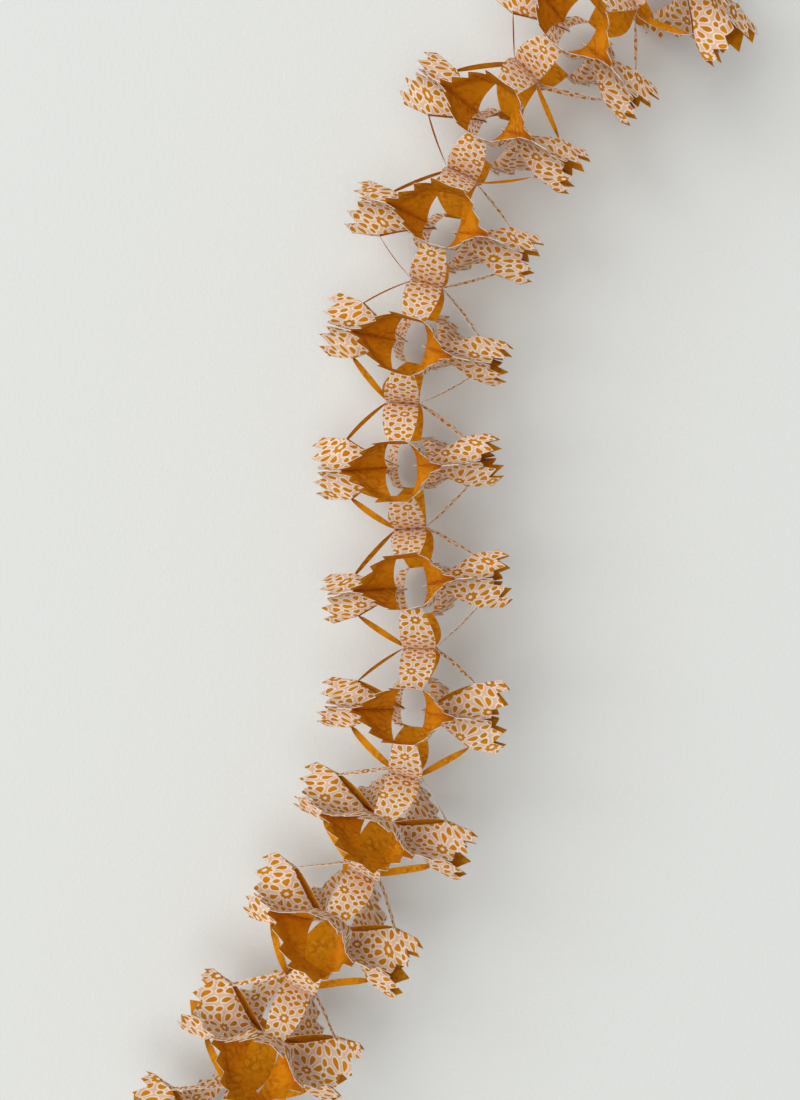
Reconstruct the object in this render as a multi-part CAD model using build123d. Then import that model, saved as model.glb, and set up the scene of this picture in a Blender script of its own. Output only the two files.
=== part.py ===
from build123d import *
import math
import os

# Paper streamer: a hanging chain of twelve folded and cut units, each made of two
# square sheets of thin printed paper with pinked edges. All lengths are millimetres.
# Origin: middle of the outer face of the topmost centre square, where it is hung.
# +Z runs up the wall, +X to the right, +Y towards the wall.

# The flat cut sheet, before it is pulled open
sheet_side = 95.0            # square side, measured at the bottoms of the pinked notches
tooth_depth = 5.5            # how far a pinked tooth stands out of that side
square_side = 20.0           # centre square that is glued to the next sheet
petal_cut = 42.0             # length of the cut along each side of a wide petal
petal_end_width = 14.0       # petal width where it joins the sheet again
petal_belly = 4.4            # how much wider than a straight taper the petal is halfway
strap_cut = 39.5             # length of the cut along each side of a thin strap
strap_width = 5.0
paper_thickness = 0.3

# The opened unit
pitch = 80.0                 # from one glued centre square to the next, before stretch
petal_joint_reach = 39.0     # from the axis of the unit to the outer end of a petal
strap_joint_reach = 40.0     # from the axis of the unit to the outer end of a strap
joint_rise = 15.6            # height of those ends above the glued middle plane
corner_rise = 17.5           # height of the four sheet corners above that plane
strap_tip_reach = 5.5        # from the axis to the free inner tips beside the straps

# How the strips hang: 0.5 is a straight line, 1 a square shoulder
petal_shoulder_share = 0.84
strap_shoulder_share = 0.54
petal_segments = 4
strap_segments = 2

# The glued squares turn less than the sheets, and draw the petal ridges back with them
square_turn = 4.0            # degrees
petal_pull_share = 0.85

# Four pinked teeth on each half side. The notches between them, from the middle of the
# side to the corner, as shares of the way out, the way in to the ridge and the height
strap_edge_shares = [(0.50, 0.35, 0.00), (0.86, 0.63, 0.24), (0.92, 0.82, 0.66)]
petal_edge_shares = [(0.34, 0.22, 0.18), (0.68, 0.44, 0.55), (0.92, 0.67, 0.90)]

# Foot of each fold where the slope meets the flat glued patch, as shares of the half side
strap_foot_share = (0.98, 0.52)
petal_foot_share = (0.80, 0.74)

# Each unit from the top. In degrees: tilt of its axis to the right and lean of it towards
# the room, roll to the right and nod towards the room of its glued middle plane against
# that axis, and turn of that plane about it. Then the stretch of its pitch, the lift of
# its ridges, and how far its left, its right and its lower petal ridges share in it
units = [
    dict(tilt=58.0, lean=0.0, roll=0.0, nod=0.0, turn=8.0,
         stretch_share=0.93, lift_share=1.00, left_share=1.00, right_share=1.00, lower_share=1.00),
    dict(tilt=54.8, lean=0.0, roll=-8.0, nod=9.0, turn=6.0,
         stretch_share=0.955, lift_share=1.00, left_share=1.00, right_share=0.80, lower_share=1.00),
    dict(tilt=32.3, lean=-0.8, roll=1.0, nod=5.0, turn=13.0,
         stretch_share=0.925, lift_share=1.00, left_share=1.02, right_share=0.85, lower_share=1.00),
    dict(tilt=18.3, lean=-0.8, roll=0.8, nod=1.0, turn=11.5,
         stretch_share=0.88, lift_share=1.02, left_share=0.93, right_share=0.92, lower_share=1.00),
    dict(tilt=11.4, lean=3.7, roll=-0.9, nod=1.3, turn=15.0,
         stretch_share=0.965, lift_share=1.00, left_share=1.15, right_share=0.83, lower_share=1.00),
    dict(tilt=-3.4, lean=0.0, roll=-0.6, nod=-2.4, turn=18.0,
         stretch_share=1.04, lift_share=1.02, left_share=1.22, right_share=0.97, lower_share=1.00),
    dict(tilt=-4.6, lean=-8.0, roll=-0.4, nod=-4.2, turn=12.5,
         stretch_share=0.99, lift_share=1.04, left_share=0.86, right_share=1.08, lower_share=1.00),
    dict(tilt=6.6, lean=-4.8, roll=-0.9, nod=-5.5, turn=13.0,
         stretch_share=1.05, lift_share=1.05, left_share=0.91, right_share=1.30, lower_share=1.00),
    dict(tilt=22.2, lean=4.6, roll=-4.0, nod=-5.0, turn=18.0,
         stretch_share=0.945, lift_share=1.02, left_share=1.04, right_share=1.02, lower_share=0.72),
    dict(tilt=28.5, lean=1.2, roll=-4.5, nod=-5.0, turn=22.0,
         stretch_share=1.17, lift_share=1.27, left_share=1.08, right_share=1.01, lower_share=0.72),
    dict(tilt=26.7, lean=2.3, roll=-0.6, nod=-3.6, turn=7.0,
         stretch_share=1.20, lift_share=1.40, left_share=1.00, right_share=0.98, lower_share=0.78),
    dict(tilt=33.0, lean=2.4, roll=0.0, nod=-3.0, turn=10.0,
         stretch_share=1.16, lift_share=1.25, left_share=1.00, right_share=1.00, lower_share=0.85),
]

# Sizes that follow from the ones above
half_square = square_side / 2
half_strap = strap_width / 2
half_thickness = paper_thickness / 2
corner_radius = sheet_side / math.sqrt(2)
petal_joint = half_square + petal_cut
strap_joint = half_square + strap_cut


def up_direction(unit):
    """Unit vector along a unit's axis, from its lower to its upper centre square."""
    tilt = math.radians(unit["tilt"])
    lean = math.radians(unit["lean"])
    return Vector(math.sin(tilt) * math.cos(lean), -math.sin(lean), math.cos(tilt) * math.cos(lean))


def unit_axes(unit):
    """The right-hand direction square to a unit's axis, and that axis."""
    up = up_direction(unit)
    return Vector(0, 1, 0).cross(up).normalized(), up


def middle_plane(unit, origin):
    """Glued middle plane of a unit: nodded, rolled and then turned about its own axis."""
    right, up = unit_axes(unit)
    forth_and_back = Axis((0, 0, 0), up.cross(right))
    up = up.rotate(Axis((0, 0, 0), right), unit["nod"]).rotate(forth_and_back, unit["roll"])
    right = right.rotate(forth_and_back, unit["roll"]).rotate(Axis((0, 0, 0), up), -unit["turn"])
    return Plane(origin=origin, x_dir=right, z_dir=up)


def streamer_frames():
    """Planes of all units' middles, and of all glued centre squares."""
    corners = [Vector(0, 0, 0)]
    axes = [unit_axes(unit) for unit in units]
    for unit, (_, up) in zip(units, axes):
        corners.append(corners[-1] - up * (pitch * unit["stretch_share"]))
    middles = [
        middle_plane(unit, (upper + lower) * 0.5)
        for unit, upper, lower in zip(units, corners, corners[1:])
    ]
    above = [axes[0]] + axes
    below = axes + [axes[-1]]
    squares = []
    for corner, (right_a, up_a), (right_b, up_b) in zip(corners, above, below):
        up = up_a + up_b
        right = (right_a + right_b).rotate(Axis((0, 0, 0), up), -square_turn)
        squares.append(Plane(origin=corner, x_dir=right, z_dir=up))
    return middles, squares


def tooth_tip(start, end, apex):
    """Tip of a pinked tooth on the edge from start to end, in the plane of its facet."""
    base = (start + end) * 0.5
    along = (end - start).normalized()
    outward = base - apex
    outward -= along * outward.dot(along)
    return base + outward.normalized() * tooth_depth


class SheetMesh:
    """Mid-surface of one sheet as triangles, thickened to both sides into one solid."""

    def __init__(self):
        self.points = []
        self.fixed_normals = {}
        self.triangles = []
        self.index_of = {}

    def vertex(self, point, fixed_normal=None):
        key = tuple(round(value, 5) for value in point)
        if key not in self.index_of:
            self.index_of[key] = len(self.points)
            self.points.append(point)
        index = self.index_of[key]
        if fixed_normal is not None:
            self.fixed_normals[index] = fixed_normal
        return index

    def fan(self, *indices):
        """A convex facet as triangles that start at its first corner."""
        for second, third in zip(indices[1:], indices[2:]):
            corner_set = {indices[0], second, third}
            if len(corner_set) == 3:
                self.triangles.append((indices[0], second, third))

    def band(self, near, far):
        """Triangles between two rows of vertices that may differ in count."""
        i, j = 0, 0
        while i < len(near) - 1 or j < len(far) - 1:
            near_done = i / max(len(near) - 1, 1)
            far_done = j / max(len(far) - 1, 1)
            if i < len(near) - 1 and (near_done <= far_done or j == len(far) - 1):
                self.fan(near[i], far[j], near[i + 1])
                i += 1
            else:
                self.fan(near[i], far[j], far[j + 1])
                j += 1

    def normals(self):
        sums = [Vector(0, 0, 0) for _ in self.points]
        for a, b, c in self.triangles:
            edge_1 = self.points[b] - self.points[a]
            edge_2 = self.points[c] - self.points[a]
            normal = edge_1.cross(edge_2).normalized()
            for index in (a, b, c):
                sums[index] += normal
        return [
            self.fixed_normals.get(index, total.normalized())
            for index, total in enumerate(sums)
        ]

    def solid(self):
        normals = self.normals()
        outer = [p + n * half_thickness for p, n in zip(self.points, normals)]
        inner = [p - n * half_thickness for p, n in zip(self.points, normals)]
        corners = [[outer[i] for i in triangle] for triangle in self.triangles]
        corners += [[inner[i] for i in reversed(triangle)] for triangle in self.triangles]
        edges = {
            edge
            for a, b, c in self.triangles
            for edge in ((a, b), (b, c), (c, a))
        }
        for start, end in edges:
            if (end, start) not in edges:
                corners.append([outer[end], outer[start], inner[start]])
                corners.append([outer[end], inner[start], inner[end]])
        faces = [Face(Wire.make_polygon(triangle, close=True)) for triangle in corners]
        return Solid(Shell(faces))


class Sheet:
    """One folded sheet. Its side is +1 for the upper sheet of a unit, -1 for the lower."""

    def __init__(self, unit, middle, square, side):
        self.middle = middle
        self.square = square
        self.side = side
        petal_share = 1 if side > 0 else unit["lower_share"]
        side_shares = (unit["right_share"], petal_share, unit["left_share"], petal_share)
        self.lifts = [unit["lift_share"] * share for share in side_shares]
        drawn_back = math.radians(unit["turn"] - square_turn)
        self.petal_pull = petal_pull_share * petal_joint_reach * math.sin(drawn_back)
        self.mesh = SheetMesh()

    def place(self, axis, along, across, height):
        """A point given along one of the four axes of the unit, in the streamer's frame.
        The petal ridges on axes 1 and 3 are drawn sideways in step with their height."""
        turn = math.radians(90 * axis)
        if axis in (1, 3):
            across += self.petal_pull * min(1, height / (joint_rise * self.lifts[axis]))
        x = along * math.cos(turn) - across * math.sin(turn)
        y = along * math.sin(turn) + across * math.cos(turn)
        z = (height + half_thickness) * self.side
        return self.middle.from_local_coords(Vector(x, y, z))

    def ring_vertex(self, axis, hand, along, across, height):
        """A vertex of the sheet round the cuts. On the glued plane it lies face down."""
        flat = self.middle.z_dir * self.side if height == 0 else None
        return self.mesh.vertex(self.place(axis, along, across * hand, height), flat)

    def face(self, hand, *indices):
        """A facet, turned so that the printed face is outside on both hands and sides."""
        first, rest = indices[0], indices[1:]
        if hand * self.side < 0:
            rest = rest[::-1]
        self.mesh.fan(first, *rest)

    def rows(self, hand, near, far):
        """The band between two rows of vertices, turned like a single facet."""
        if hand * self.side > 0:
            self.mesh.band(near, far)
        else:
            self.mesh.band(far, near)

    def eighth(self, axis, hand, joint, joint_reach, half_width, edge_shares, foot_share, tip_reach):
        """The part of the sheet between one ridge and the valley beside it."""
        middle = corner_radius / 2
        ridge_end = joint_reach + corner_radius - joint
        joint_height = joint_rise * self.lifts[axis]
        corner_height = corner_rise * self.lifts[axis]
        notches = [
            Vector(middle + (ridge_end - middle) * out, middle * (1 - in_), corner_height * up)
            for out, in_, up in edge_shares
        ]
        notches.append(Vector(ridge_end, 0, corner_height))
        foot = Vector(middle * foot_share[0], middle * foot_share[1], 0)
        joint_corner = Vector(joint_reach, half_width, joint_height)
        apexes = [foot] * 2 + [joint_corner] * 2
        tips = [
            tooth_tip(start, end, apex)
            for start, end, apex in zip([Vector(middle, middle, 0)] + notches, notches, apexes)
        ]

        def vertices(points):
            return [self.ring_vertex(axis, hand, point.X, point.Y, point.Z) for point in points]

        inner = vertices([Vector(half_square, half_square, 0)])
        if tip_reach > 0:
            inner += vertices([Vector(tip_reach, half_width, 0)])
        else:
            bow = (half_square + half_width + petal_belly) / 2
            inner += vertices([Vector((half_square + joint_reach) / 2, bow, joint_height / 2)])
        edge = vertices([Vector(middle, middle, 0)] + notches)
        centre, corner, foot_vertex = vertices([
            Vector(joint_reach, 0, joint_height), joint_corner, foot,
        ])
        self.face(hand, foot_vertex, corner, *reversed(edge[:3]), *inner, corner)
        self.face(hand, corner, centre, *reversed(edge[2:]))
        for tip, start, end in zip(vertices(tips), edge, edge[1:]):
            self.face(hand, tip, start, end)

    def hanging_strip(self, axis, joint_reach, start_width, end_width, belly, shoulder, count):
        """A petal or strap from the centre square to its joint, bent over a shoulder."""
        turn = math.radians(90 * axis)
        height = -half_thickness * self.side
        start = self.square.from_local_coords(
            Vector(half_square * math.cos(turn), half_square * math.sin(turn), height))
        start_across = (self.square.x_dir * -math.sin(turn) + self.square.y_dir * math.cos(turn))
        end = self.place(axis, joint_reach, 0, joint_rise * self.lifts[axis])
        out = self.square.x_dir * math.cos(turn) + self.square.y_dir * math.sin(turn)
        end_across = (self.middle.x_dir * -math.sin(turn) + self.middle.y_dir * math.cos(turn))
        span = end - start
        knee = start + out * (span.dot(out) * shoulder)
        knee += self.square.z_dir * (span.dot(self.square.z_dir) * (1 - shoulder))
        rows = []
        for i in range(count + 1):
            t = i / count
            centre = start * (1 - t) ** 2 + knee * (2 * t * (1 - t)) + end * t ** 2
            across = (start_across * (1 - t) + end_across * t).normalized()
            half = (start_width * (1 - t) + end_width * t) / 2 + belly * 2 * t * (1 - t)
            normal = self.square.z_dir * self.side if i == 0 else None
            row = [centre - across * half, centre + across * half]
            if i == count:
                row.insert(1, centre)
            rows.append([self.mesh.vertex(point, normal) for point in row])
        for near, far in zip(rows, rows[1:]):
            self.rows(1, near, far)

    def centre_square(self):
        height = -half_thickness * self.side
        normal = self.square.z_dir * self.side
        columns = [
            [
                self.mesh.vertex(self.square.from_local_coords(Vector(x, y, height)), normal)
                for y in (-half_square, -half_strap, half_strap, half_square)
            ]
            for x in (-half_square, half_square)
        ]
        self.rows(1, *columns)

    def build(self):
        """Axes 0 and 2 carry the straps, axes 1 and 3 the petals."""
        self.centre_square()
        for axis in (0, 2):
            for hand in (1, -1):
                self.eighth(axis, hand, strap_joint, strap_joint_reach, half_strap,
                            strap_edge_shares, strap_foot_share, strap_tip_reach)
            self.hanging_strip(axis, strap_joint_reach, strap_width, strap_width, 0,
                               strap_shoulder_share, strap_segments)
        for axis in (1, 3):
            for hand in (1, -1):
                self.eighth(axis, hand, petal_joint, petal_joint_reach, petal_end_width / 2,
                            petal_edge_shares, petal_foot_share, 0)
            self.hanging_strip(axis, petal_joint_reach, square_side, petal_end_width, petal_belly,
                               petal_shoulder_share, petal_segments)
        return self.mesh.solid()


os.makedirs("parts", exist_ok=True)
middles, squares = streamer_frames()
for number, (unit, middle) in enumerate(zip(units, middles), start=1):
    upper = Sheet(unit, middle, squares[number - 1], 1).build()
    lower = Sheet(unit, middle, squares[number], -1).build()
    export_step(upper, f"parts/unit_{number:02d}_upper_sheet.step")
    export_step(lower, f"parts/unit_{number:02d}_lower_sheet.step")
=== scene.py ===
"""Looks of the paper streamer: thin curled sheets with a block print, a wall, lamps and a camera."""

import math
from typing import NamedTuple

import bmesh
import bpy
import numpy as np
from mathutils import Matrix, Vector


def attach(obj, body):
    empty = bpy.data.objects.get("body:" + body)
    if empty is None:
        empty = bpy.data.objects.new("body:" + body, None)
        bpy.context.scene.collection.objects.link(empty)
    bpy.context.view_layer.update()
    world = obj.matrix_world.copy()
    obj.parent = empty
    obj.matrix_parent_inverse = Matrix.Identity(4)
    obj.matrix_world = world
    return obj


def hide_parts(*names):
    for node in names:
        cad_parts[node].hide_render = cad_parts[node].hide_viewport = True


bl_info = {
    "name": "Paper Streamer",
    "version": (1, 0, 0),
    "blender": (4, 5, 0),
    "location": "3D View > Sidebar > Streamer",
    "description": "Folded and cut paper streamer on a wall",
    "category": "Add Mesh",
}

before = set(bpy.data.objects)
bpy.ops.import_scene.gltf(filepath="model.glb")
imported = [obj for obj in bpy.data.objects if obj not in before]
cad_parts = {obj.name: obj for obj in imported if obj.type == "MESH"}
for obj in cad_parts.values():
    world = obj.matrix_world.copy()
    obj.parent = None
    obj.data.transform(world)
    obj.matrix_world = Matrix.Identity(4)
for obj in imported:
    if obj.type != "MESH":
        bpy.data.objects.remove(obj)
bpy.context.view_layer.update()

MM = 0.001

# Each unit from the top. In degrees: tilt of its axis to the right and lean of it towards
# the room, roll to the right and nod towards the room of its glued middle plane against
# that axis, and turn of that plane about it. Then the stretch of its pitch, the lift of
# its ridges, and how far its left, its right and its lower petal ridges share in it
UNITS = np.array([
    (58.0, 0.0, 0.0, 0.0, 8.0, 0.93, 1.00, 1.00, 1.00, 1.00),
    (54.8, 0.0, -8.0, 9.0, 6.0, 0.955, 1.00, 1.00, 0.80, 1.00),
    (32.3, -0.8, 1.0, 5.0, 13.0, 0.925, 1.00, 1.02, 0.85, 1.00),
    (18.3, -0.8, 0.8, 1.0, 11.5, 0.88, 1.02, 0.93, 0.92, 1.00),
    (11.4, 3.7, -0.9, 1.3, 15.0, 0.965, 1.00, 1.15, 0.83, 1.00),
    (-3.4, 0.0, -0.6, -2.4, 18.0, 1.04, 1.02, 1.22, 0.97, 1.00),
    (-4.6, -8.0, -0.4, -4.2, 12.5, 0.99, 1.04, 0.86, 1.08, 1.00),
    (6.6, -4.8, -0.9, -5.5, 13.0, 1.05, 1.05, 0.91, 1.30, 1.00),
    (22.2, 4.6, -4.0, -5.0, 18.0, 0.945, 1.02, 1.04, 1.02, 0.72),
    (28.5, 1.2, -4.5, -5.0, 22.0, 1.17, 1.27, 1.08, 1.01, 0.72),
    (26.7, 2.3, -0.6, -3.6, 7.0, 1.20, 1.40, 1.00, 0.98, 0.78),
    (33.0, 2.4, 0.0, -3.0, 10.0, 1.16, 1.25, 1.00, 1.00, 0.85),
])

# From one glued centre square to the next before the stretch, in mm, the turn of the
# squares in degrees, and the share of a unit's turn against them that draws its petals aside
UNIT_PITCH = 80.0
SQUARE_TURN = 4.0
PETAL_PULL_SHARE = 0.85

# In mm: heights above the glued middle plane of the outer ends of the strips and of the
# sheet's corners, the reach of the free tips beside the straps, and how far the middle of a
# sheet's paper lies from the face it is glued at
JOINT_RISE = 15.6
CORNER_RISE = 17.5
STRAP_TIP_REACH = 5.5
HALF_LAYER = 0.15

# How gently the edge of a cut starts to climb: 1 is a straight line, and more is gentler
CUT_EDGE_POWER = 1.15

# Twist of each unit's straps half-way, in degrees: right upper, right lower, left upper,
# left lower. Above 0 a left strap shows its plain face and a right one its printed face
STRAP_TWIST = np.array([
    (28.0, -75.0, 25.0, 8.0),
    (32.0, 22.0, 25.0, 8.0),
    (-36.0, -35.0, 22.0, 8.0),
    (30.0, 18.0, 14.0, 6.0),
    (15.0, 9.0, 8.0, 44.0),
    (26.0, 16.0, 25.0, 44.0),
    (22.0, 11.0, 35.0, 44.0),
    (30.0, -56.0, 26.0, 58.0),
    (-12.0, -70.0, -14.0, 74.0),
    (6.0, -70.0, 2.0, 58.0),
    (6.0, -66.0, -26.0, 60.0),
    (10.0, -60.0, 5.0, 60.0),
])

# The strap cuts of the fans that are seen from above: the first such unit, and how far the
# back and the front edge of a cut curl up half-way, in mm
FIRST_CURLED = 7
BACK_CURL = 2.6
FRONT_CURL = -0.9

# How far a back petal spreads to each side half-way, in mm, and how far each unit's upper
# and lower one shift to the right
BACK_PETAL_SPREAD = 1.8
BACK_PETAL_SHIFT = np.array([
    (0.0, 0.0), (-1.0, -1.5), (-4.5, -1.5), (-5.0, -2.0), (-1.5, -4.5), (-1.5, -4.0),
    (0.0, 0.0), (0.0, 0.0), (0.0, 2.2), (0.0, 2.2), (0.0, 2.2), (0.0, 2.2),
])

# How far hand-folded sheets stray: reach, rise, corner and sideways pull of a ridge in mm,
# shoulder of a strip as a share, and twist of a strap in degrees
REACH_STRAY = 0.8
RISE_STRAY = 0.6
CORNER_STRAY = 1.2
PULL_STRAY = 1.0
SHOULDER_STRAY = 0.03
TWIST_STRAY = 5.0

# Small waves of thin paper, in mm: their height, how far they run for one radian to the
# right, back and along the diagonal, and how far up from the glued plane they are whole
WAVE_HEIGHT = 0.35
WAVE_RUNS = (7.0, 8.5, 5.0)
WAVE_WHOLE_AT = 8.0

# First seeds of the random draws: of the bend of each unit, and of each sheet
SWAY_SEED = 40
SHEET_SEED = 100

# How fast the twist of a strap grows from its ends: 1 is a plain sine
TWIST_POWER = 0.6

# Points nearer than the first are welded and edges shorter than the second are dropped, in
# mm. Folds sharper than the third, in degrees, are shaded as edges
WELD_DISTANCE = 0.02
SHORTEST_EDGE = 0.001
SHARP_ANGLE = 38.0

# A gentle bend that both sheets of a unit share, at its most: slopes to the right and back,
# then the rise in mm of a saddle and of a diagonal one where they come to the areas in mm2
SWAY_AMOUNTS = (0.03, 0.03, 1.2, 1.2)
SADDLE_AREA = 2500.0
DIAGONAL_AREA = 1800.0

# Steps of the grids: rows beside a cut and outside it, columns of a slope, teeth on half a
# side and rows of one, and rows of a strip
CUT_ROWS = 14
RIM_ROWS = 8
SLOPE_COLUMNS = 24
HALF_SIDE_TEETH = 4
TOOTH_ROWS = 4
STRIP_ROWS = 24


class Strip(NamedTuple):
    """A kind of strip and the ridge that it pulls up: the length of the cut beside it, half
    its outer width, twice how far a side bows out half-way, and the reach of its outer end,
    in mm; its shoulder, where 0.5 is a straight line and 1 a square bend; how much its ridge
    rounds over; its columns; and the cross-section of its fold.

    A cross-section goes from the valley to the ridge at even steps: the share of the way
    out, of the way in to the ridge, and of the height."""

    cut: float
    end_half: float
    belly: float
    reach: float
    shoulder_share: float
    bulge_share: float
    columns: int
    profile: np.ndarray


PETAL = Strip(
    cut=42.0, end_half=7.0, belly=3.7, reach=39.0, shoulder_share=0.72, bulge_share=0.315, columns=10,
    profile=np.array([(0, 0, 0), (0.34, 0.22, 0.18), (0.68, 0.44, 0.55), (0.92, 0.67, 0.90), (1, 1, 1)]))
STRAP = Strip(
    cut=39.5, end_half=2.5, belly=0.0, reach=40.0, shoulder_share=0.54, bulge_share=0.175, columns=4,
    profile=np.array([(0, 0, 0), (0.50, 0.35, 0.0), (0.86, 0.63, 0.24), (0.92, 0.82, 0.66), (1, 1, 1)]))

# The block print on the flat sheet, in mm: spacing of the rosettes, their radius, the depth
# of their lobes and their hole, the drops round each with their place, half length, half
# width, how much fuller the outer end is and how much is shaved off, and the seeds between
# three rosettes and between two in a row. Then the paler margin round each motif, the span
# over which a hand-cut block strays, and half the softness of the ink's and margin's edges
PRINT_SPACING = 20.4
ROSETTE_RADIUS = 3.15
ROSETTE_LOBE = 0.38
ROSETTE_HOLE = 1.15
DROPS = 8
DROP_PLACE = 6.95
DROP_HALF_LENGTH = 2.5
DROP_HALF_WIDTH = 1.6
DROP_FULLNESS = 0.45
DROP_SHAVE = 0.12
SEED_OF_THREE = 1.5
SEED_OF_TWO = 1.35
PALE_MARGIN = 0.75
PRINT_STRAY = 1.1
INK_EDGE = 0.16
MARGIN_EDGE = 0.2

# Side of the square of flat paper that the UV map covers, in mm
UV_SPAN = 120.0

# Shares of the red, green and blue of a paper colour in its other tones
DEEP_INK_SHARES = (0.82, 0.82, 0.82)
ROSE_GROUND_SHARES = (0.95, 0.83, 0.76)
PALE_GROUND_SHARES = (1.08, 1.18, 1.28)
DEEP_INSIDE_SHARES = (0.72, 0.58, 0.45)
# The next two give painted light that shines through the thin sheet: the print shows as paler drops on the
# plain face
PAINTED_BACKLIGHT_TONE = (1.06, 1.42, 6.0)
PAINTED_BACKLIGHT_AMOUNT = 0.5
PAPER_CORE = (0.80, 0.72, 0.62, 1.0)
PAPER_ROUGHNESS = 0.85
PAPER_SHINE = 0.08

# Noise over a sheet, each with its scale in waves to the metre and its detail: the large
# mottling, the small patches of the plain face, and the fibres of the paper. Then the share
# of the patches in the tone of the plain face
MOTTLE = (90.0, 3.0)
PATCHES = (330.0, 4.0)
FIBRES = (1400.0, 2.0)
PATCH_SHARE = 0.9

# Between which values of the mottling the ink deepens, the plain face deepens, and the
# painted light through the thin sheet shows the print
INK_DEEPENS = (0.35, 0.7)
INSIDE_DEEPENS = (0.32, 0.78)
PAINTED_BACKLIGHT_RANGE = (0.42, 0.62)

# The painted wall: scale and detail of its grain, the scales of its two sets of threads,
# their detail and their share in the relief
WALL_GRAIN = (420.0, 5.0)
WALL_THREADS = ((240.0, 1.0, 1100.0), (1100.0, 1.0, 240.0))
THREAD_DETAIL = 2.0
THREAD_SHARE = 0.6
WALL_ROUGHNESS = 0.9
WALL_SHINE = 0.1

# Strength and height in metres of the fine relief of the paper and of the wall
PAPER_RELIEF = (0.12, 0.0002)
WALL_RELIEF = (0.23, 0.001)

# The room, in metres and watts: half the wall's side, the world light, and each lamp's
# name, place, size and power, all aimed at one point
WALL_HALF = 3.0
WORLD_COLOUR = (0.99, 0.995, 1.0, 1.0)
WORLD_STRENGTH = 0.31
LAMP_TARGET = (-0.2, 0.0, -0.4)
LAMPS = (
    ("window", (-6.5, -8.2, 2.6), 11.0, 900.0),
    ("room_fill", (-0.8, -7.7, -1.4), 6.0, 165.0),
)

# The camera: its place, its sensor in mm, and its focal length and the height of the
# picture in pixels
CAMERA_PLACE = (-0.2046, -0.8205, -0.2703)
CAMERA_SENSOR = 36.0
FOCAL_PIXELS = 1250.0
PICTURE_HEIGHT_PIXELS = 1100.0


# Settings


class StreamerPaper(bpy.types.PropertyGroup):
    sheet_side: bpy.props.FloatProperty(
        name="Sheet side", description="Side of the cut square at the bottoms of its notches",
        default=0.095, min=0.05, unit="LENGTH")
    tooth_depth: bpy.props.FloatProperty(
        name="Tooth depth", description="Depth of the pinked teeth", default=0.0055, min=0.0, unit="LENGTH")
    square_side: bpy.props.FloatProperty(
        name="Centre square", description="Side of the glued centre square",
        default=0.02, min=0.005, unit="LENGTH")
    thickness: bpy.props.FloatProperty(
        name="Thickness", description="Thickness of the paper",
        default=0.00024, min=0.00005, precision=5, unit="LENGTH")
    unevenness: bpy.props.FloatProperty(
        name="Unevenness", description="How far the hand-folded sheets stray from each other",
        default=1.0, min=0.0, max=2.0)
    ground: bpy.props.FloatVectorProperty(
        name="Ground", description="Colour of the printed face between its motifs", subtype="COLOR",
        default=(0.76, 0.595, 0.46), min=0.0, max=1.0)
    print_ink: bpy.props.FloatVectorProperty(
        name="Print", description="Colour of the block print", subtype="COLOR",
        default=(0.59, 0.222, 0.005), min=0.0, max=1.0)
    inside: bpy.props.FloatVectorProperty(
        name="Inside", description="Colour of the plain face", subtype="COLOR",
        default=(0.69, 0.268, 0.004), min=0.0, max=1.0)


class StreamerStage(bpy.types.PropertyGroup):
    wall_distance: bpy.props.FloatProperty(
        name="Wall distance", description="From the line of the streamer to the wall",
        default=0.07, unit="LENGTH")
    wall_colour: bpy.props.FloatVectorProperty(
        name="Wall", description="Colour of the wall", subtype="COLOR",
        default=(0.745, 0.76, 0.735), min=0.0, max=1.0)
    camera_pitch: bpy.props.FloatProperty(
        name="Camera pitch", description="How far the camera looks down",
        default=math.radians(8.0), subtype="ANGLE")


class Sizes:
    """The paper's settings with their lengths in millimetres."""

    def __init__(self, settings):
        self.sheet_side = settings.sheet_side / MM
        self.tooth_depth = settings.tooth_depth / MM
        self.square_half = settings.square_side / MM / 2
        self.unevenness = settings.unevenness


# Shader maths


class Value:
    """A shader value whose operators add Math nodes."""

    def __init__(self, tree, socket):
        self.tree = tree
        self.socket = socket

    def math(self, operation, *others):
        node = self.tree.nodes.new("ShaderNodeMath")
        node.operation = operation
        for slot_in, other in zip(node.inputs, (self, *others)):
            if isinstance(other, Value):
                self.tree.links.new(other.socket, slot_in)
            else:
                slot_in.default_value = other
        return Value(self.tree, node.outputs[0])

    def __add__(self, other):
        return self.math("ADD", other)

    def __sub__(self, other):
        return self.math("SUBTRACT", other)

    def __mul__(self, other):
        return self.math("MULTIPLY", other)

    def __truediv__(self, other):
        return self.math("DIVIDE", other)

    def __rsub__(self, other):
        return (self * -1.0) + other

    __radd__ = __add__
    __rmul__ = __mul__


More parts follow.
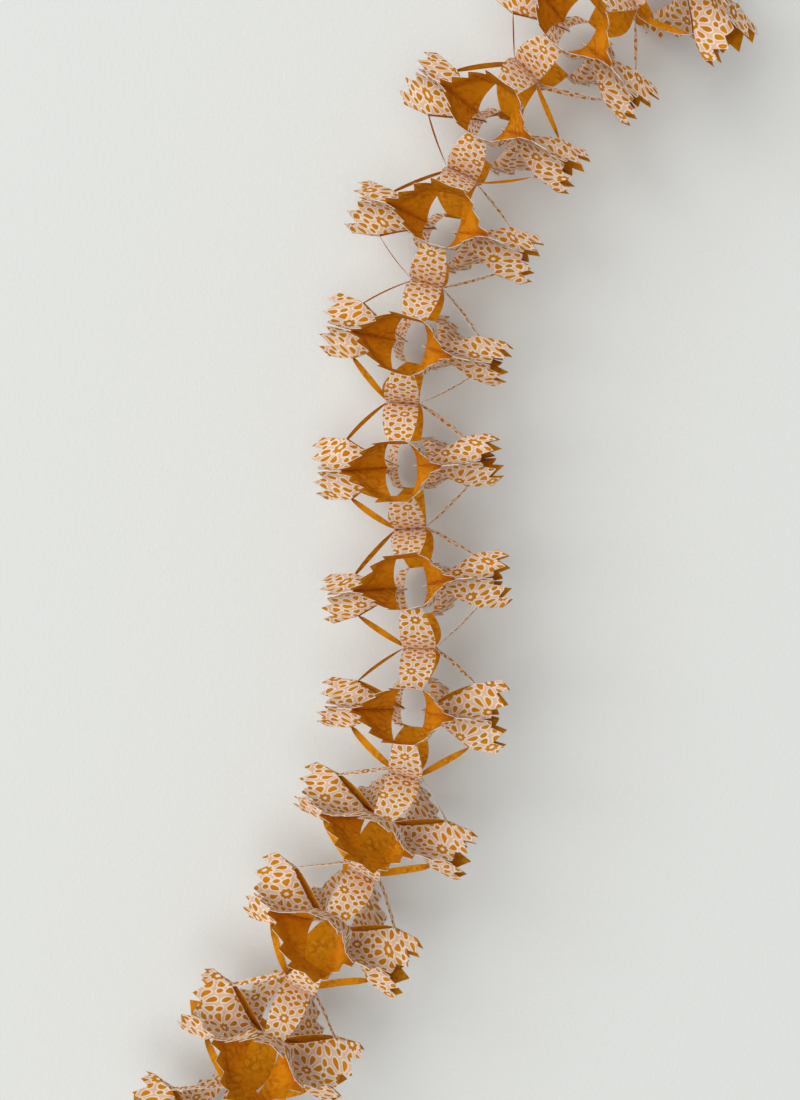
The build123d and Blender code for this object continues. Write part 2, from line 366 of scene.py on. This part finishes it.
class Shader:
    """A new material's node tree with one method that adds any node."""

    def __init__(self, name):
        self.material = bpy.data.materials.new(name)
        self.material.use_nodes = True
        self.tree = self.material.node_tree
        self.tree.nodes.clear()

    def node(self, kind, settings=None, **inputs):
        """A node of that kind with its settings, then the values or links of its sockets,
        each by its name with _ for a space, or by i and its number."""
        made = self.tree.nodes.new(kind)
        for key, value in (settings or {}).items():
            setattr(made, key, value)
        for key, value in inputs.items():
            numbered = key[0] == "i" and key[1:].isdigit()
            socket = made.inputs[int(key[1:]) if numbered else key.replace("_", " ")]
            if isinstance(value, Value):
                self.tree.links.new(value.socket, socket)
            elif isinstance(value, bpy.types.NodeSocket):
                self.tree.links.new(value, socket)
            else:
                socket.default_value = value
        return made

    def value(self, socket):
        return Value(self.tree, socket)

    def noise(self, place, scale, detail):
        made = self.node("ShaderNodeTexNoise", Vector=place, Scale=scale, Detail=detail)
        return self.value(made.outputs[0])

    def ramp(self, value, low, high):
        """0 below low, 1 above high, smooth between."""
        smooth = {"interpolation_type": "SMOOTHSTEP"}
        made = self.node("ShaderNodeMapRange", smooth, i0=value, i1=low, i2=high)
        return self.value(made.outputs[0])

    def mix(self, factor, a, b):
        made = self.node("ShaderNodeMix", {"data_type": "RGBA"}, i0=factor, i6=a, i7=b)
        return made.outputs[2]

    def relief(self, height, strength, distance):
        """The normals of a surface that this height makes bumpy."""
        made = self.node("ShaderNodeBump", Strength=strength, Distance=distance, Height=height)
        return made.outputs[0]

    def finished(self, surface):
        """The material with this surface on its output."""
        self.node("ShaderNodeOutputMaterial", Surface=surface.outputs[0])
        return self.material


def tone_of(colour, shares):
    """The colour with each channel times its own share."""
    return tuple(channel * share for channel, share in zip(colour, shares)) + (1.0,)


def block_print(shader):
    """Mask of the print, 1 on ink, and mask of the print with its paler margin, both from
    the flat pattern in millimetres.

    Rosettes stand on a lattice of even triangles. Round each stand eight teardrops that
    point to it. Seeds fill the gaps between three of them and between two in a row."""
    flat = shader.node("ShaderNodeUVMap", {"uv_map": "flat_pattern"}).outputs[0]
    split = shader.node("ShaderNodeSeparateXYZ", i0=flat)
    planar = {"noise_dimensions": "2D"}
    wobble = shader.node("ShaderNodeTexNoise", planar, Vector=flat, Scale=30.0, Detail=1.0)
    bend = shader.node("ShaderNodeSeparateColor", i0=wobble.outputs[1])
    x, y = (
        shader.value(split.outputs[i]) * UV_SPAN + (shader.value(bend.outputs[i]) - 0.5) * PRINT_STRAY
        for i in range(2)
    )
    spacing = PRINT_SPACING
    row = spacing * math.sqrt(3.0)

    def from_centres(shift_x, shift_y):
        """Place and distance from the nearest of one set of centres."""
        cell_x = ((x + shift_x) / spacing).math("FRACT") * spacing - spacing / 2
        cell_y = ((y + shift_y) / row).math("FRACT") * row - row / 2
        return cell_x, cell_y, (cell_x * cell_x + cell_y * cell_y).math("SQRT")

    def motif(shift_x, shift_y):
        """Signed amounts round one set of centres, above 0 inside a motif and its margin.

        A rosette is a disc whose radius waves with the angle, less its hole. The angle is
        folded on to one drop, whose half width is a half ellipse along it, fuller outwards."""
        cell_x, cell_y, radius = from_centres(shift_x, shift_y)
        angle = cell_y.math("ARCTAN2", cell_x)
        lobes = (angle * float(DROPS)).math("COSINE")
        rosette = (lobes * ROSETTE_LOBE + ROSETTE_RADIUS) - radius
        ring = rosette.math("MINIMUM", radius - ROSETTE_HOLE)
        sector = 2.0 * math.pi / DROPS
        fold = ((angle * (1.0 / sector) + float(DROPS)).math("FRACT") - 0.5) * sector
        out = radius * fold.math("COSINE") - DROP_PLACE
        aside = (radius * fold.math("SINE")).math("ABSOLUTE")

        def teardrop(grow):
            along = out / (DROP_HALF_LENGTH + grow)
            round_end = (1.0 - along * along).math("MAXIMUM", 0.0).math("SQRT")
            half_width = round_end * (along * DROP_FULLNESS + 1.0) * (DROP_HALF_WIDTH + grow)
            return half_width - aside - DROP_SHAVE

        inked = ring.math("MAXIMUM", teardrop(0.0))
        return inked, (rosette + PALE_MARGIN).math("MAXIMUM", teardrop(PALE_MARGIN))

    first_ink, first_pale = motif(0.0, 0.0)
    second_ink, second_pale = motif(spacing / 2, row / 2)
    ink = first_ink.math("MAXIMUM", second_ink)
    pale = first_pale.math("MAXIMUM", second_pale)
    for shift_x, shift_y, seed in (
        (spacing / 2, row / 6, SEED_OF_THREE), (0.0, -row / 3, SEED_OF_THREE),
        (0.0, row / 3, SEED_OF_THREE), (spacing / 2, -row / 6, SEED_OF_THREE),
        (spacing / 2, 0.0, SEED_OF_TWO), (0.0, row / 2, SEED_OF_TWO),
    ):
        radius = from_centres(shift_x, shift_y)[2]
        ink = ink.math("MAXIMUM", seed - radius)
        pale = pale.math("MAXIMUM", seed + PALE_MARGIN - radius)
    return shader.ramp(ink, -INK_EDGE, INK_EDGE), shader.ramp(pale, -MARGIN_EDGE, MARGIN_EDGE)


def printed_face(shader, settings, place):
    """Uneven ink on a rose ground, with a pale margin round each motif."""
    mottle = shader.noise(place, *MOTTLE)
    mask, margin = block_print(shader)
    ink, deep_ink = (*settings.print_ink, 1.0), tone_of(settings.print_ink, DEEP_INK_SHARES)
    rose, pale = (tone_of(settings.ground, shares) for shares in (ROSE_GROUND_SHARES, PALE_GROUND_SHARES))
    inked = shader.mix(shader.ramp(mottle, *INK_DEEPENS), ink, deep_ink)
    return shader.mix(mask, shader.mix(margin, rose, pale), inked)


def plain_face(shader, settings, place):
    """Patchy solid colour, with painted light through the thin sheet that shows the print faintly and paler
    in places.
    """
    mottle = shader.noise(place, *MOTTLE)
    mask, _ = block_print(shader)
    inside, deep = (*settings.inside, 1.0), tone_of(settings.inside, DEEP_INSIDE_SHARES)
    patches = (shader.noise(place, *PATCHES) - 0.5) * PATCH_SHARE
    plain = shader.mix(shader.ramp(mottle + patches, *INSIDE_DEEPENS), inside, deep)
    # Painted light through the sheet: paler drops where the print lies on the other face
    painted_backlight = mask * shader.ramp(mottle, *PAINTED_BACKLIGHT_RANGE) * PAINTED_BACKLIGHT_AMOUNT
    return shader.mix(painted_backlight, plain, tone_of(settings.inside, PAINTED_BACKLIGHT_TONE))


def paper_material(name, settings, face):
    """Matt paper with a fine bump of fibres, coloured by the function of its face."""
    shader = Shader(name)
    place = shader.node("ShaderNodeTexCoord").outputs["Object"]
    colour = face(shader, settings, place)
    fibres = shader.noise(place, *FIBRES)
    return shader.finished(shader.node(
        "ShaderNodeBsdfPrincipled", Base_Color=colour, Normal=shader.relief(fibres, *PAPER_RELIEF),
        Roughness=PAPER_ROUGHNESS, Specular_IOR_Level=PAPER_SHINE))


def edge_material(name):
    """Pale core of the paper that its cut edges show."""
    shader = Shader(name)
    return shader.finished(shader.node(
        "ShaderNodeBsdfPrincipled", Base_Color=PAPER_CORE, Roughness=PAPER_ROUGHNESS))


def wall_material(name, colour):
    """Painted woven lining: fine noise and two sets of threads as bump, clear from behind."""
    shader = Shader(name)
    place = shader.node("ShaderNodeTexCoord").outputs["Object"]
    grain = shader.noise(place, *WALL_GRAIN)
    for threads in WALL_THREADS:
        woven = shader.node("ShaderNodeMapping", Vector=place, Scale=threads).outputs[0]
        grain = grain + shader.noise(woven, 1.0, THREAD_DETAIL) * THREAD_SHARE
    painted = shader.node(
        "ShaderNodeBsdfPrincipled", Base_Color=(*colour, 1.0), Normal=shader.relief(grain, *WALL_RELIEF),
        Roughness=WALL_ROUGHNESS, Specular_IOR_Level=WALL_SHINE)
    clear = shader.node("ShaderNodeBsdfTransparent")
    behind = shader.node("ShaderNodeNewGeometry").outputs["Backfacing"]
    return shader.finished(shader.node(
        "ShaderNodeMixShader", i0=behind, i1=painted.outputs[0], i2=clear.outputs[0]))


# The shape of the sheets


def rotated(vectors, axes, degrees):
    """Vectors turned about unit axes by the right-hand rule: the part along the axis stays,
    the rest goes over into its cross product with the axis."""
    angle = np.expand_dims(np.radians(degrees), -1)
    along = axes * (axes * vectors).sum(-1, keepdims=True)
    return along + (vectors - along) * np.cos(angle) + np.cross(axes, vectors) * np.sin(angle)


def quarter_turn(points, axis):
    """Points turned by that many quarter turns about z."""
    c, s = ((1, 0), (0, 1), (-1, 0), (0, -1))[axis]
    turned = points.copy()
    turned[..., 0] = points[..., 0] * c - points[..., 1] * s
    turned[..., 1] = points[..., 0] * s + points[..., 1] * c
    return turned


def grid(rows, columns):
    """Two parameters over a grid of rows by columns."""
    return np.meshgrid(rows, columns, indexing="ij")


def unit_frames():
    """Each unit's middle and axes, and each glued square's, as (origins, 3x3 rows of axes).

    A unit's axis comes from its tilt and lean. Its middle plane is nodded and rolled
    against that axis and then turned. Squares lie between the units, half-way between
    their directions."""
    tilt, lean = np.radians(UNITS[:, :2].T)
    roll, nod, turn, stretch = UNITS[:, 2:6].T
    up = np.stack([np.sin(tilt) * np.cos(lean), -np.sin(lean), np.cos(tilt) * np.cos(lean)], 1)
    right = np.cross((0.0, 1.0, 0.0), up)
    right /= np.linalg.norm(right, axis=1)[:, None]
    back = np.cross(up, right)
    nodes = np.concatenate([np.zeros((1, 3)), -np.cumsum(up * (UNIT_PITCH * stretch)[:, None], 0)])
    middles = (nodes[:-1] + nodes[1:]) / 2
    sheet_up = rotated(rotated(up, right, nod), back, roll)
    sheet_right = rotated(rotated(right, back, roll), sheet_up, -turn)
    node_up = np.concatenate([up[:1], up]) + np.concatenate([up, up[-1:]])
    node_up /= np.linalg.norm(node_up, axis=1)[:, None]
    node_right = np.concatenate([right[:1], right]) + np.concatenate([right, right[-1:]])
    node_right = rotated(node_right, node_up, np.full(len(nodes), -SQUARE_TURN))

    def axes(x, z):
        x = x - z * (x * z).sum(-1, keepdims=True)
        x /= np.linalg.norm(x, axis=-1, keepdims=True)
        return np.stack([x, np.cross(z, x), z], -2)

    return (middles, axes(sheet_right, sheet_up)), (nodes, axes(node_right, node_up))


def smooth_curve(knots, t):
    """Values at t of a curve through evenly spaced knots: cubic pieces whose slope at a knot
    is the mean of its neighbours' steps, held level where the steps turn."""
    steps = np.diff(knots, axis=0)
    slopes = np.zeros_like(knots)
    slopes[1:-1] = np.where(steps[1:] * steps[:-1] > 0, (steps[1:] + steps[:-1]) / 2, 0)
    slopes[0], slopes[-1] = steps[0], steps[-1]
    place = t * (len(knots) - 1)
    i = np.clip(place.astype(int), 0, len(knots) - 2)
    f = (place - i)[..., None]
    a, b, slope_a, slope_b = knots[i], knots[i + 1], slopes[i], slopes[i + 1]
    ends = a * (1 + 2 * f) * (1 - f) ** 2 + b * f * f * (3 - 2 * f)
    return ends + slope_a * f * (1 - f) ** 2 - slope_b * f * f * (1 - f)


class Fold:
    """One ridge of one sheet: where its cuts end, how it stands, and its cross-section."""

    def __init__(self, sizes, strip, lift, pull, random):
        stray = sizes.unevenness
        self.strip = strip
        self.half = sizes.square_half
        self.corner = sizes.sheet_side / math.sqrt(2)
        self.joint = self.half + strip.cut
        self.start_half = self.half if strip is PETAL else strip.end_half
        self.tip = self.half if strip is PETAL else STRAP_TIP_REACH
        self.reach = strip.reach + stray * random.uniform(-REACH_STRAY, REACH_STRAY)
        self.rise = JOINT_RISE * lift + stray * random.uniform(-RISE_STRAY, RISE_STRAY)
        self.top = CORNER_RISE * lift + stray * random.uniform(-CORNER_STRAY, CORNER_STRAY)
        self.pull = (pull if strip is PETAL else 0.0) + stray * random.uniform(-PULL_STRAY, PULL_STRAY)
        self.curl = 0.0

    def half_width(self, u):
        """Half width of the strip at u from the middle of the flat sheet: a straight taper
        and a bow."""
        s = np.clip((u - self.half) / self.strip.cut, 0, 1)
        return self.start_half * (1 - s) + self.strip.end_half * s + self.strip.belly * 2 * s * (1 - s)

    def drawn(self, folded):
        """Points drawn sideways in step with their height, fully at the joint and above."""
        moved = folded.copy()
        moved[..., 1] += self.pull * np.clip(folded[..., 2] / self.rise, 0, 1)
        return moved

    def lines(self, q):
        """Flat and folded places of the two long sides of an eighth at q: 0 by the middle of
        the sheet, 1 at the joint, 2 at the notches and more in the teeth.

        The first side is the valley, which stays flat. The second is the edge of the cut,
        then the ridge."""
        inner, outer, tooth = np.clip(q, 0, 1), np.clip(q - 1, 0, 1), np.clip(q - 2, 0, None)
        start = (self.joint + self.strip.end_half) / 2
        valley = self.half + (start - self.half) * inner + (self.corner / 2 - start) * outer
        valley += tooth / math.sqrt(2)
        run = self.corner - self.joint
        past = run * outer + tooth * math.sqrt(2)
        climb = math.atan((self.top - self.rise) / run)
        u = self.half + self.strip.cut * inner
        across = self.half_width(u) * (1 - outer)
        along = self.tip + (self.reach - self.tip) * inner + past * math.cos(climb)
        height = self.rise * inner ** CUT_EDGE_POWER + (self.top - self.rise) * outer
        height += tooth * math.sqrt(2) * math.sin(climb)
        return (
            np.stack([valley, valley], -1), np.stack([u + past, across], -1),
            np.stack([valley, valley, valley * 0], -1), np.stack([along, across, height], -1))

    def slope(self, q, t):
        """Between the valley at t 0 and the ridge at t 1: the way out, the way in and the
        height each follow their own curve of the cross-section. Beside a cut that curls, a
        bow along the cut is added, more and more towards its edge."""
        flat_valley, flat_edge, valley, edge = self.lines(q)
        flat = flat_valley + (flat_edge - flat_valley) * t[..., None]
        folded = valley + (edge - valley) * smooth_curve(self.strip.profile, t)
        inner = np.clip(q, 0, 1)
        folded[..., 2] += self.curl * 4 * inner * (1 - inner) * t ** 3
        return flat, folded

    def crest(self, q, s):
        """Between the ridge at s 0 and the upper end of the slope at s 1, a little higher in
        its middle."""
        _, flat_edge, _, edge = self.lines(q)
        one = np.ones_like(s)
        folded = edge * np.stack([one, s, one], -1)
        folded[..., 2] += self.strip.bulge_share * np.clip(q - 1, 0, 1) * edge[..., 1] * (1 - s)
        return flat_edge * np.stack([one, s], -1), folded


class SheetSurface:
    """Gathers the grids of one sheet in millimetres, with each point's place in the flat cut."""

    def __init__(self):
        self.points, self.flats, self.quads, self.count = [], [], [], 0

    def add(self, flat, points, turned):
        """A grid of points with the flat pattern's x and y. Turned grids have their faces flipped."""
        rows, columns = points.shape[:2]
        index = self.count + np.arange(rows * columns).reshape(rows, columns)
        corners = [index[:-1, :-1], index[1:, :-1], index[1:, 1:], index[:-1, 1:]]
        quads = np.stack(corners, -1).reshape(-1, 4)
        self.quads.append(quads[:, ::-1] if turned else quads)
        self.points.append(points.reshape(-1, 3))
        self.flats.append(flat.reshape(-1, 2))
        self.count += rows * columns

    def mesh(self, name, shift):
        """The grids welded to one mesh, with a UV map of the flat pattern moved by shift."""
        mesh = bpy.data.meshes.new(name)
        mesh.from_pydata(np.concatenate(self.points) * MM, [], np.concatenate(self.quads))
        flats = np.pad(np.concatenate(self.flats), ((0, 0), (0, 1))).astype(np.float32)
        mesh.attributes.new("flat", "FLOAT_VECTOR", "POINT").data.foreach_set("vector", flats.ravel())

        welded = bmesh.new()
        welded.from_mesh(mesh)
        bmesh.ops.remove_doubles(welded, verts=welded.verts, dist=WELD_DISTANCE * MM)
        bmesh.ops.dissolve_degenerate(welded, edges=welded.edges, dist=SHORTEST_EDGE * MM)
        welded.to_mesh(mesh)
        welded.free()

        flat = np.zeros(len(mesh.vertices) * 3, np.float32)
        mesh.attributes["flat"].data.foreach_get("vector", flat)
        corner = np.zeros(len(mesh.loops), np.int32)
        mesh.loops.foreach_get("vertex_index", corner)
        place = (flat.reshape(-1, 3)[corner, :2] + shift) / UV_SPAN + 0.5
        uv = mesh.uv_layers.new(name="flat_pattern")
        uv.data.foreach_set("uv", place.astype(np.float32).ravel())
        mesh.attributes.remove(mesh.attributes["flat"])
        mesh.shade_smooth()
        return mesh


def unit_sway(unevenness, random):
    """A gentle bend of the whole unit that both its sheets share, as height by place in plan:
    a plane, a saddle and a diagonal saddle."""
    a, b, c, d = random.uniform(-1, 1, 4) * unevenness * SWAY_AMOUNTS

    def sway(points):
        x, y = points[..., 0], points[..., 1]
        return a * x + b * y + c * (x * x - y * y) / SADDLE_AREA + d * x * y / DIAGONAL_AREA

    return sway


class FoldedSheet:
    """One whole sheet: eight slopes with their crests and teeth, four strips and the square.

    Side is 1 for the upper sheet of a unit and -1 for the lower one, which is the same fold
    upside down. Axis 0 is the right ridge, 1 the back one, 2 the left one, 3 the front one."""

    def __init__(self, sizes, unit, side, middle, square, sway, random):
        self.sizes, self.unit, self.side = sizes, unit, side
        self.origin, self.axes = middle
        self.node, self.node_axes = square
        self.sway, self.random = sway, random
        # Three of these place the waves. All six are drawn, because the later draws follow them
        self.phases = random.uniform(0, 2 * math.pi, 6)[:3]
        self.surface = SheetSurface()
        turn, _, lift, left, right, lower = UNITS[unit, 4:]
        petal = lift * (lower if side < 0 else 1.0)
        pull = PETAL_PULL_SHARE * PETAL.reach * math.sin(math.radians(turn - SQUARE_TURN))
        for axis, ridge_lift in enumerate((lift * right, petal, lift * left, petal)):
            fold = Fold(sizes, PETAL if axis % 2 else STRAP, ridge_lift, pull, random)
            self.add_ridge(fold, axis)
            self.add_strip(fold, axis)
        self.add_square()

    def wave(self, points):
        """Height of small waves, none where the two sheets are glued: a wave to the right
        times one back, and a weaker one along the diagonal."""
        x, y, z = points[..., 0], points[..., 1], points[..., 2]
        a, b, c = self.phases
        right, back, diagonal = WAVE_RUNS
        wave = np.sin(x / right + a) * np.sin(y / back + b) + 0.6 * np.sin((x + y) / diagonal + c)
        return wave * WAVE_HEIGHT * self.sizes.unevenness * np.clip(z / WAVE_WHOLE_AT, 0, 1)

    def placed(self, local, axis):
        """From one ridge's own frame to the streamer's."""
        points = quarter_turn(local, axis)
        lifted = points[..., 2] + self.wave(points)
        points[..., 2] = (lifted + HALF_LAYER) * self.side + self.sway(points)
        return self.origin + points @ self.axes

    def on_square(self, local):
        """From the glued square's frame to the streamer's."""
        return self.node + local @ self.node_axes

    def add_ridge(self, fold, axis):
        """The slopes on both hands of a ridge with the crest over it, and the pinked teeth:
        triangles that narrow along the slope's own lines as they go out."""
        cut_rows = np.linspace(0, 1, CUT_ROWS + 1)
        rim_rows = np.linspace(1, 2, RIM_ROWS + 1)
        slope_grid = grid(np.concatenate([cut_rows, rim_rows[1:]]), np.linspace(0, 1, SLOPE_COLUMNS + 1))
        crest_grid = grid(rim_rows, np.linspace(1, 0, fold.strip.columns // 2 + 1))
        tooth_columns = SLOPE_COLUMNS // HALF_SIDE_TEETH
        narrowing, place = grid(np.linspace(0, 1, TOOTH_ROWS + 1), np.linspace(-1, 1, tooth_columns + 1))
        out = narrowing * self.sizes.tooth_depth
        half_side = self.sizes.sheet_side / 2
        curled = self.unit >= FIRST_CURLED and self.side > 0 and fold.strip is STRAP

        for hand in (1, -1):
            if curled:
                fold.curl = BACK_CURL if hand == 1 - axis else FRONT_CURL
            patches = [fold.slope(*slope_grid), fold.crest(*crest_grid)]
            for tooth in range(HALF_SIDE_TEETH):
                along = (tooth + 0.5 + 0.5 * place * (1 - narrowing)) / HALF_SIDE_TEETH * half_side
                patches.append(fold.slope(2 + out, along / (half_side + out)))
            for flat, folded in patches:
                points = self.placed(fold.drawn(folded * (1, hand, 1)), axis)
                self.surface.add(quarter_turn(flat * (1, hand), axis), points, hand * self.side > 0)

    def add_strip(self, fold, axis):
        """The petal or strap between the square and the joint: a quadratic curve from the
        edge of the square to its place on the crest. The knee in between goes out and down
        by the shares of its shoulder. A petal bows out to its sides, the back one more, and
        a strap turns about its own middle line, most of all half-way."""
        half, strip = self.sizes.square_half, fold.strip
        s = np.linspace(-1, 1, strip.columns + 1)
        start = np.stack([half + 0 * s, s * fold.start_half, -HALF_LAYER * self.side + 0 * s], -1)
        start = self.on_square(quarter_turn(start, axis))
        _, crest = fold.crest(np.ones_like(s), np.abs(s))
        crest[:, 1] *= np.sign(s)
        end = self.placed(fold.drawn(crest), axis)
        out, across, down = quarter_turn(np.eye(3), axis) @ self.node_axes

        stray = self.sizes.unevenness
        shoulder = strip.shoulder_share + stray * self.random.uniform(-SHOULDER_STRAY, SHOULDER_STRAY)
        span = end - start
        knee = start + np.outer(span @ out, out) * shoulder + np.outer(span @ down, down) * (1 - shoulder)
        f = np.linspace(0, 1, STRIP_ROWS + 1)[:, None, None]
        points = start * (1 - f) ** 2 + knee * 2 * f * (1 - f) + end * f ** 2
        which = (1 - self.side) // 2
        if strip is PETAL:
            points += across * (s[:, None] * strip.belly * 2 * f * (1 - f))
            if axis == 1:
                spread = s[:, None] * BACK_PETAL_SPREAD - BACK_PETAL_SHIFT[self.unit, which]
                points += across * (spread * 4 * f * (1 - f))
        else:
            spine = points.mean(1, keepdims=True)
            run = np.gradient(spine[:, 0], axis=0)
            run /= np.linalg.norm(run, axis=1)[:, None]
            stray_twist = stray * self.random.uniform(-TWIST_STRAY, TWIST_STRAY)
            twist = STRAP_TWIST[self.unit, axis + which] + stray_twist
            twist = twist * self.side * np.sin(np.pi * f[..., 0]) ** TWIST_POWER
            points = spine + rotated(points - spine, run[:, None], twist)

        u = half + strip.cut * f[..., 0]
        flat = np.stack([np.broadcast_to(u, points.shape[:2]), s * fold.half_width(u)], -1)
        self.surface.add(quarter_turn(flat, axis), points, self.side < 0)

    def add_square(self):
        """The centre square, with rows and columns that meet those of the strips."""
        half, strap = self.sizes.square_half, STRAP.end_half
        x = np.linspace(-half, half, PETAL.columns + 1)
        y = np.concatenate([
            np.linspace(-half, -strap, 4)[:-1],
            np.linspace(-strap, strap, STRAP.columns + 1)[:-1],
            np.linspace(strap, half, 4),
        ])
        x, y = grid(x, y)
        local = np.stack([x, y, np.full_like(x, -HALF_LAYER * self.side)], -1)
        self.surface.add(local[..., :2], self.on_square(local), self.side < 0)


# Operators


def thickened(mesh, name, thickness, context):
    """The mesh as a solid sheet of that thickness, its second material behind and its third
    on the cut edges."""
    thin = bpy.data.objects.new(name + "_thin", mesh)
    context.collection.objects.link(thin)
    layer = thin.modifiers.new("thickness", "SOLIDIFY")
    layer.thickness = thickness
    layer.offset = 0
    layer.material_offset = 1
    layer.material_offset_rim = 2
    context.view_layer.update()
    solid = bpy.data.meshes.new_from_object(thin.evaluated_get(context.evaluated_depsgraph_get()))
    solid.name = name + "_paper"
    solid.set_sharp_from_angle(angle=math.radians(SHARP_ANGLE))
    bpy.data.objects.remove(thin)
    bpy.data.meshes.remove(mesh)
    return solid


class STREAMER_OT_sheets(bpy.types.Operator):
    """Add the folded sheets of all units, with their paper materials"""

    bl_idname = "streamer.sheets"
    bl_label = "Folded Sheets"

    def execute(self, context):
        settings = context.scene.streamer_paper
        sizes = Sizes(settings)
        materials = (
            paper_material("paper_print", settings, printed_face),
            paper_material("paper_inside", settings, plain_face),
            edge_material("paper_edge"),
        )
        (middles, unit_axes), (nodes, node_axes) = unit_frames()
        for unit in range(len(UNITS)):
            sway = unit_sway(sizes.unevenness, np.random.default_rng(SWAY_SEED + unit))
            middle = (middles[unit], unit_axes[unit])
            for side, word in ((1, "upper"), (-1, "lower")):
                random = np.random.default_rng(SHEET_SEED + 2 * unit + (side < 0))
                at = unit if side > 0 else unit + 1
                sheet = FoldedSheet(sizes, unit, side, middle, (nodes[at], node_axes[at]), sway, random)
                name = f"unit_{unit + 1:02d}_{word}_sheet"
                mesh = sheet.surface.mesh(name + "_paper", random.uniform(-20, 20, 2))
                for material in materials:
                    mesh.materials.append(material)
                solid = thickened(mesh, name, settings.thickness, context)
                piece = bpy.data.objects.new(name + "_paper", solid)
                context.collection.objects.link(piece)
                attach(piece, "root")
                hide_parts(name)
        return {"FINISHED"}


class STREAMER_OT_stage(bpy.types.Operator):
    """Add the wall, the lamps, the world light and the camera"""

    bl_idname = "streamer.stage"
    bl_label = "Stage"

    def add_wall(self, context, settings):
        mesh = bpy.data.meshes.new("wall")
        y, half = settings.wall_distance, WALL_HALF
        corners = [(-half, y, -half), (half, y, -half), (half, y, half), (-half, y, half)]
        mesh.from_pydata(corners, [], [(0, 1, 2, 3)])
        mesh.materials.append(wall_material("wall", settings.wall_colour))
        wall = bpy.data.objects.new("wall", mesh)
        context.collection.objects.link(wall)
        return wall

    def add_world(self, context):
        world = bpy.data.worlds.new("room")
        world.use_nodes = True
        background = world.node_tree.nodes["Background"]
        background.inputs["Color"].default_value = WORLD_COLOUR
        background.inputs["Strength"].default_value = WORLD_STRENGTH
        context.scene.world = world

    def add_lamp(self, context, name, place, size, power):
        light = bpy.data.lights.new(name, "AREA")
        light.shape = "DISK"
        light.size = size
        light.energy = power
        lamp = bpy.data.objects.new(name, light)
        lamp.location = place
        aim = Vector(LAMP_TARGET) - Vector(place)
        lamp.rotation_euler = aim.to_track_quat("-Z", "Y").to_euler()
        context.collection.objects.link(lamp)
        return lamp

    def add_camera(self, context, settings):
        data = bpy.data.cameras.new("camera")
        data.sensor_width = CAMERA_SENSOR
        data.lens = CAMERA_SENSOR * FOCAL_PIXELS / PICTURE_HEIGHT_PIXELS
        camera = bpy.data.objects.new("camera", data)
        camera.location = CAMERA_PLACE
        camera.rotation_euler = (math.pi / 2 - settings.camera_pitch, 0, 0)
        context.collection.objects.link(camera)
        context.scene.camera = camera
        return camera

    def execute(self, context):
        settings = context.scene.streamer_stage
        context.scene.view_settings.view_transform = "Standard"
        wall = self.add_wall(context, settings)
        self.add_world(context)
        lamps = [self.add_lamp(context, *lamp) for lamp in LAMPS]
        camera = self.add_camera(context, settings)
        return {"FINISHED"}


class STREAMER_PT_panel(bpy.types.Panel):
    """The settings of the sheets and of the stage, each with its operator"""

    bl_idname = "STREAMER_PT_panel"
    bl_label = "Streamer"
    bl_space_type = "VIEW_3D"
    bl_region_type = "UI"
    bl_category = "Streamer"

    def draw(self, context):
        for title, settings, operator in (
            ("Sheets", context.scene.streamer_paper, STREAMER_OT_sheets),
            ("Stage", context.scene.streamer_stage, STREAMER_OT_stage),
        ):
            box = self.layout.box()
            box.label(text=title)
            for name in settings.bl_rna.properties.keys():
                if name not in ("rna_type", "name"):
                    box.prop(settings, name)
            box.operator(operator.bl_idname)


CLASSES = (StreamerPaper, StreamerStage, STREAMER_OT_sheets, STREAMER_OT_stage, STREAMER_PT_panel)


def register():
    for cls in CLASSES:
        bpy.utils.register_class(cls)
    bpy.types.Scene.streamer_paper = bpy.props.PointerProperty(type=StreamerPaper)
    bpy.types.Scene.streamer_stage = bpy.props.PointerProperty(type=StreamerStage)


def unregister():
    del bpy.types.Scene.streamer_paper
    del bpy.types.Scene.streamer_stage
    for cls in reversed(CLASSES):
        bpy.utils.unregister_class(cls)


def main():
    register()
    bpy.ops.streamer.sheets()
    bpy.ops.streamer.stage()
    bpy.context.view_layer.update()


if __name__ == "__main__":
    main()
